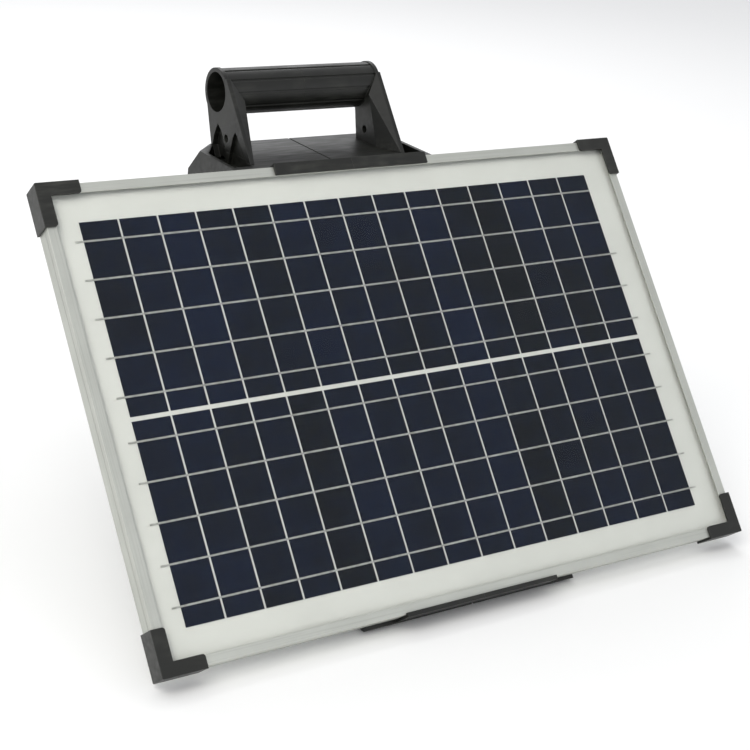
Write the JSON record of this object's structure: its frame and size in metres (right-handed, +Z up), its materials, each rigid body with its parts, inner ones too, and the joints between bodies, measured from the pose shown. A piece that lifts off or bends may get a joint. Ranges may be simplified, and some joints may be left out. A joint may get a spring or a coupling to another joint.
{
  "type": "solar fence energizer",
  "caption": "Portable solar electric-fence energizer: moulded wedge housing with carrying handle, tilted framed solar module, rear battery door, rotary switch and two clamp terminals.",
  "frame": {"origin": "on the floor, under the middle of the whole object's width and depth, at the level of the feet's undersides", "axes": "+Z up, -Y towards the side that the solar module faces, +Y towards the control side, +X to the right seen from the module side"},
  "size_m": [0.56, 0.3758, 0.3669],
  "materials": {
    "shell_plastic": "moulded ABS, fine spark-eroded texture, black",
    "gasket_foam": "closed-cell foam seal, black",
    "steel": "zinc-plated or stainless steel",
    "foot_rubber": "moulded rubber, black",
    "frame_aluminium": "anodised aluminium, silver, satin",
    "key_aluminium": "cast aluminium, raw",
    "cap_plastic": "moulded polypropylene, black",
    "solar_glass": "tempered low-iron solar glass",
    "silicon": "polycrystalline silicon under film, blue-black",
    "ribbon": "tinned copper ribbon",
    "backsheet": "white laminated backsheet",
    "box_plastic": "moulded polycarbonate, black",
    "diode": "moulded epoxy",
    "lead_black": "PVC insulation, black",
    "lead_red": "PVC insulation, red",
    "lead_green": "PVC insulation, green",
    "battery_plastic": "moulded ABS, dark grey",
    "battery_lid": "moulded ABS, dark grey",
    "lead_plates": "cast lead plate stacks",
    "pad_rubber": "cellular rubber",
    "strap_steel": "powder-coated steel strip",
    "tinned_brass": "tinned brass",
    "board": "glass-epoxy board with green lacquer",
    "core_iron": "lacquered transformer iron",
    "copper": "enamelled copper winding",
    "capacitor": "moulded epoxy case, blue",
    "sink_aluminium": "extruded aluminium",
    "fuse_glass": "glass tube fuse",
    "plate_plastic": "moulded ABS, dark grey",
    "switch_red": "moulded ABS, red",
    "lens_green": "diffused polycarbonate lens",
    "knob_red": "moulded polyamide, red",
    "knob_green": "moulded polyamide, green",
    "rating_foil": "brushed aluminium foil plate, blank"
  },
  "bodies": {
    "energizer": {"housing_left": "shell_plastic", "housing_right": "shell_plastic", "handle_left": "shell_plastic", "handle_right": "shell_plastic", "seam_gasket": "gasket_foam", "shell_screws": "steel", "base_feet": "foot_rubber", "rail_top": "frame_aluminium", "rail_bottom": "frame_aluminium", "rail_left": "frame_aluminium", "rail_right": "frame_aluminium", "corner_keys": "key_aluminium", "corner_caps": "cap_plastic", "front_glass": "solar_glass", "solar_cells": "silicon", "cell_ribbons": "ribbon", "backsheet": "backsheet", "glass_seal": "gasket_foam", "junction_box": "box_plastic", "junction_lid": "box_plastic", "bypass_diodes": "diode", "module_gland": "box_plastic", "module_lead": "lead_black", "battery_case": "battery_plastic", "battery_lid": "battery_lid", "battery_plates": "lead_plates", "battery_posts": "tinned_brass", "battery_pads": "pad_rubber", "battery_strap": "strap_steel", "strap_screws": "steel", "battery_lead_red": "lead_red", "battery_lead_black": "lead_black", "lead_lugs": "tinned_brass", "circuit_board": "board", "board_screws": "steel", "transformer_core": "core_iron", "transformer_coil": "copper", "pulse_capacitors": "capacitor", "heat_sink": "sink_aluminium", "fuse_holder": "tinned_brass", "fuse": "fuse_glass", "fence_lead": "lead_red", "earth_lead": "lead_green", "control_plate": "plate_plastic", "plate_screws": "steel", "switch_body": "box_plastic", "indicator_lenses": "lens_green", "fence_stud": "steel", "earth_stud": "steel", "hinge_pins": "steel"},
    "door": {"rear_door": "shell_plastic", "door_gasket": "gasket_foam", "rating_plate": "rating_foil"},
    "switch": {"switch_knob": "switch_red", "switch_shaft": "steel"},
    "fence_clamp": {"fence_washer": "steel"},
    "fence_nut": {"fence_knob": "knob_red"},
    "earth_clamp": {"earth_washer": "steel"},
    "earth_nut": {"earth_knob": "knob_green"}
  },
  "joints": [
    {"name": "door_hinge", "type": "hinge", "parent": "energizer", "child": "door", "pos_m": [-0.095, 0.16723, 0.081], "axis": [0, 0, 1], "range_deg": [0, 110]},
    {"name": "switch_turn", "type": "hinge", "parent": "energizer", "child": "switch", "pos_m": [0, 0.16333, 0.218], "axis": [0, -1, 0], "range_deg": [0, 135]},
    {"name": "fence_clamp_slide", "type": "slide", "parent": "energizer", "child": "fence_clamp", "axis": [0, 1, 0], "range_m": [0, 0.005]},
    {"name": "fence_nut_turn", "type": "hinge", "parent": "fence_clamp", "child": "fence_nut", "pos_m": [-0.056, 0.17033, 0.224], "axis": [0, 1, 0], "range_deg": [0, 1440]},
    {"name": "earth_clamp_slide", "type": "slide", "parent": "energizer", "child": "earth_clamp", "axis": [0, 1, 0], "range_m": [0, 0.005]},
    {"name": "earth_nut_turn", "type": "hinge", "parent": "earth_clamp", "child": "earth_nut", "pos_m": [0.056, 0.17033, 0.224], "axis": [0, 1, 0], "range_deg": [0, 1440]}
  ],
  "couplings": [
    {"joint": "fence_nut_turn", "follows": "fence_clamp_slide", "rad_per_m": 5026.5},
    {"joint": "earth_nut_turn", "follows": "earth_clamp_slide", "rad_per_m": 5026.5}
  ]
}
